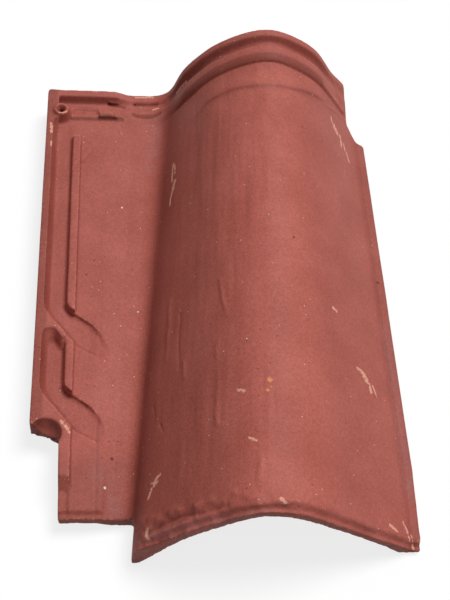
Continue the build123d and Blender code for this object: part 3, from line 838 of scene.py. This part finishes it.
def pressed_fired_clay(settings):
    """Pressed fired clay: a matt red brown face with a fine sandy grain, faint clouds and a grey
    bloom from the kiln that is partly a painted sheen, burnt streaks where the mould drew off, which
    also paint the shade of the roll's left flank, painted shade and light, slanting cloth marks,
    burnt-out holes, lime grains, paler edges that are partly worn and partly a painted highlight,
    and scuffs down to the lighter body."""
    material, tree = empty_material("Pressed fired clay")
    place = add(tree, STORED, attribute_name="laid").outputs["Vector"]
    draw = add(tree, STORED, attribute_name="drawn").outputs["Vector"]
    on = {name: add(tree, STORED, attribute_name=name).outputs["Fac"]
          for name in ("edge", "light", "flank") + tuple(MARKS)}
    noise = {name: add(tree, NOISE, [("Vector", place)], Scale=1 / (size * MM), Detail=detail,
                       Roughness=roughness)
             for name, (size, detail, roughness) in NOISES.items()}
    long_way = add(tree, "ShaderNodeMapping", [("Vector", draw)], Scale=(1.0, STREAK_STRETCH, 0.0))
    streaks = add(tree, NOISE, [("Vector", long_way)], Scale=1 / (STREAK_WIDTH * MM), Detail=3.0)

    # Clouds of two reds, under the burnt streaks, which also paint the shade of the roll's left
    # flank, the bloom with its painted sheen, and a burnt red tint of the painted shade
    cloudy = add(tree, RANGE, [("Value", noise["clouds"])], From_Min=0.35, From_Max=0.65)
    colour = add(tree, MIX, [("Factor", cloudy)], data_type="RGBA",
                 in_6=tuple(settings.deep), in_7=tuple(settings.clay))
    # Burnt streaks down the roll's left flank, which also paint its shade darker and redder
    streaked = add(tree, RANGE, [("Value", streaks)],
                   From_Min=0.25, From_Max=0.8, To_Min=0.02, To_Max=0.4)
    streaked = add(tree, MATH, [(0, streaked), (1, on["flank"])], operation="MULTIPLY")
    bloom_and_sheen_share = add(tree, RANGE, [("Value", on["bloom_and_sheen"])], From_Min=1.0, From_Max=0.2)
    thick = add(tree, RANGE, [("Value", noise["mottle"])],
                From_Min=0.35, From_Max=0.75, To_Min=0.1, To_Max=0.55)
    bloom_and_sheen_share = add(tree, MATH, [(0, bloom_and_sheen_share), (1, thick)], operation="MULTIPLY")
    # Painted shade, tinted towards the burnt red where the stored light is low
    shade_tint = add(tree, RANGE, [("Value", on["light"])], From_Min=1.0, From_Max=0.4, To_Max=0.55)
    for share, coat in ((streaked, settings.burnt), (bloom_and_sheen_share, settings.bloom_and_sheen),
                        (shade_tint, settings.burnt)):
        colour = add(tree, MIX, [("Factor", share), (6, colour)], data_type="RGBA", in_7=tuple(coat))

    # The painted light and shade of each place, varied from grain to grain
    light = add(tree, RANGE, [("Value", on["light"])],
                From_Min=0.4, From_Max=1.4, To_Min=0.62, To_Max=1.25)
    for name, least, most in (("grain", 0.76, 1.24), ("sand", 0.88, 1.12)):
        varied = add(tree, RANGE, [("Value", noise[name])],
                     From_Min=0.25, From_Max=0.75, To_Min=least, To_Max=most)
        light = add(tree, MATH, [(0, light), (1, varied)], operation="MULTIPLY")
    colour = add(tree, "ShaderNodeVectorMath", [(0, colour), ("Scale", light)], operation="SCALE")

    # Sharp edges are paler in patches, partly worn and partly a painted highlight, and the face
    # wears through in patches where something rubbed along it
    sharp = add(tree, RANGE, [("Value", on["edge"])], From_Min=0.2, From_Max=1.0)
    thin = add(tree, RANGE, [("Value", noise["patch"])], From_Min=0.46, From_Max=0.66, To_Max=0.55)
    rubbed_and_highlit = add(tree, MATH, [(0, sharp), (1, thin)], operation="MULTIPLY")
    ragged = add(tree, RANGE, [("Value", noise["patch"])],
                 From_Min=0.32, From_Max=0.62, To_Min=0.3, To_Max=1.4)
    worn = {}
    for name, start, end in (("scuff", 0.42, 0.68), ("bare", 0.35, 0.6)):
        near = add(tree, RANGE, [("Value", on[name])], From_Min=1.35, From_Max=0.25)
        near = add(tree, MATH, [(0, near), (1, ragged)], operation="MULTIPLY")
        worn[name] = add(tree, RANGE, [("Value", near)], From_Min=start, From_Max=end, To_Max=0.85)
    for share, under in ((rubbed_and_highlit, settings.pale), (worn["scuff"], settings.pale),
                         (worn["bare"], settings.ochre)):
        colour = add(tree, MIX, [("Factor", share), (6, colour)], data_type="RGBA",
                     in_7=tuple(under))

    # Lime grains and burnt-out holes, each scattered and at their own spots
    specks = {}
    moved = add(tree, "ShaderNodeVectorMath", [(0, place)], operation="ADD", in_1=(0.37, 0.11, 0.23))
    for name, at, radius, rarity, under in (("lime", place, 0.5, 0.68, settings.lime),
                                            ("pit", moved, 0.55, 0.6, settings.hole)):
        spot = add(tree, RANGE, [("Value", on[name])], From_Min=1.0, From_Max=0.6)
        either = add(tree, MATH, [(0, grains(tree, at, radius, rarity)), (1, spot)],
                     operation="MAXIMUM")
        specks[name] = add(tree, MATH, [(0, either)], operation="MULTIPLY", in_1=SPECK_SHARE)
        colour = add(tree, MIX, [("Factor", specks[name]), (6, colour)], data_type="RGBA",
                     in_7=tuple(under))

    # The sand, the cloth's threads, the lumps and the streaks, less the holes and the scuffs. Bands
    # at Scale s follow sin(10 s (x + y + z)), and so lie 2 pi / (10 sqrt(2) s) apart on the pan
    cloth = add(tree, "ShaderNodeTexWave", [("Vector", place)], bands_direction="DIAGONAL",
                Scale=math.pi / (5 * math.sqrt(2) * CLOTH_SPACING * MM), Distortion=0.6,
                Detail_Scale=0.3)
    height = add(tree, MATH, [(0, noise["grain"])], operation="MULTIPLY", in_1=GRAIN_HIGH)
    for source, high in ((cloth.outputs["Fac"], CLOTH_HIGH), (noise["lumps"], LUMPS_HIGH),
                         (streaks, STREAKS_HIGH), (specks["pit"], HOLES_HIGH),
                         (worn["scuff"], SCUFFS_HIGH)):
        height = add(tree, MATH, [(0, source), (2, height)], operation="MULTIPLY_ADD", in_1=high)
    bump = add(tree, "ShaderNodeBump", [("Height", height)], Strength=0.8, Distance=1.0 * MM)
    rough = add(tree, RANGE, [("Value", worn["scuff"])], To_Min=0.58, To_Max=0.8)
    shader = add(tree, "ShaderNodeBsdfPrincipled",
                 [("Base Color", colour), ("Normal", bump), ("Roughness", rough)],
                 IOR=1.5, Specular_IOR_Level=0.2)
    add(tree, "ShaderNodeOutputMaterial", [("Surface", shader)])
    return material


def evaluated(obj):
    """The object's mesh with its modifiers carried out."""
    graph = bpy.context.evaluated_depsgraph_get()
    return bpy.data.meshes.new_from_object(obj.evaluated_get(graph))


def soft_clay_mesh(settings):
    """The tile's solid as one even mesh: its doubles merged, its surface laid anew on a fine grid of
    cells, and its sharp edges rounded as the mould leaves them."""
    copy = bpy.data.objects.new("tile_work", bpy.data.objects[NODE].data.copy())
    bpy.context.scene.collection.objects.link(copy)
    weld = copy.modifiers.new("Weld", "WELD")
    weld.merge_threshold = SAME_PLACE * MM
    cells = copy.modifiers.new("Cells", "REMESH")
    cells.mode = "VOXEL"
    cells.voxel_size = settings.grid
    soften = copy.modifiers.new("Soften", "SMOOTH")
    soften.factor = 0.5
    soften.iterations = settings.soft_passes
    mesh = evaluated(copy)
    bpy.data.objects.remove(copy)
    return mesh


def thinned(mesh, most):
    """The mesh with its plain stretches thinned until it has at most that many triangles."""
    obj = bpy.data.objects.new("tile_work", mesh)
    bpy.context.scene.collection.objects.link(obj)
    plain = obj.vertex_groups.new(name="plain")
    plain.add(range(len(mesh.vertices)), 1.0, "REPLACE")
    plain.add(marked(mesh).tolist(), 0.0, "REPLACE")
    fewer = obj.modifiers.new("Fewer", "DECIMATE")
    fewer.vertex_group = plain.name
    fewer.ratio = min(1.0, most / (len(mesh.loops) - 2 * len(mesh.polygons)))
    result = evaluated(obj)
    bpy.data.objects.remove(obj)
    return result


class ROOFTILE_OT_tile(Operator):
    """Builds the dressed tile in place of its plain solid."""
    bl_idname = "rooftile.tile"
    bl_label = "Tile"

    def execute(self, context):
        settings = context.scene.roof_tile
        mesh = soft_clay_mesh(settings)
        work_clay(mesh, settings)
        mesh = thinned(mesh, settings.most_triangles)
        mark_places(mesh)
        mesh.name = "clay_tile"
        mesh.materials.clear()
        mesh.materials.append(pressed_fired_clay(settings))
        mesh.shade_smooth()
        tile = bpy.data.objects.new("clay_tile", mesh)
        context.scene.collection.objects.link(tile)
        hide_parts(NODE)
        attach(tile, BODY)
        return {"FINISHED"}


def camera_turn():
    """The camera's turn: its view drops by the pitch below the horizon, swings right by the yaw,
    and the picture is then turned by the roll."""
    ahead = Vector((math.sin(CAMERA_YAW) * math.cos(CAMERA_PITCH),
                    math.cos(CAMERA_YAW) * math.cos(CAMERA_PITCH), -math.sin(CAMERA_PITCH)))
    level = Vector((math.cos(CAMERA_YAW), -math.sin(CAMERA_YAW), 0))
    above = level.cross(ahead)
    right = level * math.cos(CAMERA_ROLL) + above * math.sin(CAMERA_ROLL)
    up = above * math.cos(CAMERA_ROLL) - level * math.sin(CAMERA_ROLL)
    return Matrix((right, up, -ahead)).transposed().to_4x4()


def white_for_the_eye(tree, colour, other):
    """A shader that is the plain colour to camera, glossy and transmission rays, and the other
    shader to the rest."""
    path = add(tree, "ShaderNodeLightPath")
    seen = path.outputs["Is Camera Ray"]
    for ray in ("Is Glossy Ray", "Is Transmission Ray"):
        seen = add(tree, MATH, [(0, seen), (1, path.outputs[ray])], operation="MAXIMUM")
    return add(tree, "ShaderNodeMixShader", [(0, seen), (1, other), (2, colour)])


class ROOFTILE_OT_stage(Operator):
    """Makes the floor, the backdrop, the lamps and the camera."""
    bl_idname = "rooftile.stage"
    bl_label = "Stage"

    def execute(self, context):
        scene = context.scene
        settings = scene.roof_tile_stage
        self.make_floor(scene, settings)
        self.make_world(scene, settings)
        self.make_lamps(scene, settings)
        self.make_camera(scene, settings)
        scene.view_settings.view_transform = "Standard"
        return {"FINISHED"}

    def make_floor(self, scene, settings):
        """A wide white floor that the tile lies on."""
        mesh = bpy.data.meshes.new("floor")
        corners = [(x * FLOOR_REACH, y * FLOOR_REACH, 0)
                   for x, y in ((-1, -1), (1, -1), (1, 1), (-1, 1))]
        mesh.from_pydata(corners, [], [(0, 1, 2, 3)])
        material, tree = empty_material("White paper")
        glow = add(tree, "ShaderNodeEmission", Color=tuple(settings.floor), Strength=1.0)
        face = add(tree, "ShaderNodeBsdfDiffuse", Color=tuple(settings.floor))
        seen = add(tree, "ShaderNodeMixShader", [(1, glow), (2, face)], Fac=settings.shadow)
        dim = add(tree, "ShaderNodeBsdfDiffuse", Color=(FLOOR_RETURN,) * 3 + (1.0,))
        add(tree, "ShaderNodeOutputMaterial", [("Surface", white_for_the_eye(tree, seen, dim))])
        mesh.materials.append(material)
        floor = bpy.data.objects.new("floor", mesh)
        scene.collection.objects.link(floor)

    def make_world(self, scene, settings):
        """White to the eye, and an even sky for the light."""
        world = bpy.data.worlds.new("White backdrop")
        world.use_nodes = True
        tree = world.node_tree
        tree.nodes.clear()
        seen = add(tree, "ShaderNodeBackground", Color=(1, 1, 1, 1), Strength=1.0)
        sky = add(tree, "ShaderNodeBackground", Color=(1, 1, 1, 1), Strength=settings.fill)
        add(tree, "ShaderNodeOutputWorld", [("Surface", white_for_the_eye(tree, seen, sky))])
        scene.world = world

    def make_lamps(self, scene, settings):
        """One distant soft light, high beyond the tile's head and a little to its right."""
        light = bpy.data.lights.new("Key", "SUN")
        light.angle = settings.key_spread
        light.energy = settings.key
        lamp = bpy.data.objects.new("Key", light)
        lamp.rotation_euler = (-KEY_WAY).to_track_quat("-Z", "Y").to_euler()
        scene.collection.objects.link(lamp)

    def make_camera(self, scene, settings):
        """The camera at the photograph's place and angle."""
        data = bpy.data.cameras.new("Camera")
        data.sensor_width = 36.0
        data.lens = settings.lens
        data.clip_end = 50.0
        camera = bpy.data.objects.new("Camera", data)
        camera.matrix_world = Matrix.Translation(CAMERA_PLACE) @ camera_turn()
        scene.collection.objects.link(camera)
        scene.camera = camera


class VIEW3D_PT_roof_tile(Panel):
    """The tile's steps and settings."""
    bl_idname = "VIEW3D_PT_roof_tile"
    bl_label = "Roof tile"
    bl_space_type = "VIEW_3D"
    bl_region_type = "UI"
    bl_category = "Roof tile"

    def draw(self, context):
        for operator in STEPS:
            self.layout.operator(operator.bl_idname)
        for settings in (context.scene.roof_tile, context.scene.roof_tile_stage):
            for name in settings.bl_rna.properties.keys():
                if name not in ("rna_type", "name"):
                    self.layout.prop(settings, name)


STEPS = (ROOFTILE_OT_stage, ROOFTILE_OT_tile)
CLASSES = (TileSettings, StageSettings) + STEPS + (VIEW3D_PT_roof_tile,)


def register():
    """Adds the classes, and the settings to every scene."""
    for item in CLASSES:
        bpy.utils.register_class(item)
    bpy.types.Scene.roof_tile = PointerProperty(type=TileSettings)
    bpy.types.Scene.roof_tile_stage = PointerProperty(type=StageSettings)


def unregister():
    """Takes the settings and the classes out again."""
    del bpy.types.Scene.roof_tile_stage
    del bpy.types.Scene.roof_tile
    for item in reversed(CLASSES):
        bpy.utils.unregister_class(item)


def main():
    """Runs every step in order."""
    register()
    bpy.ops.rooftile.stage()
    bpy.ops.rooftile.tile()


if __name__ == "__main__":
    main()
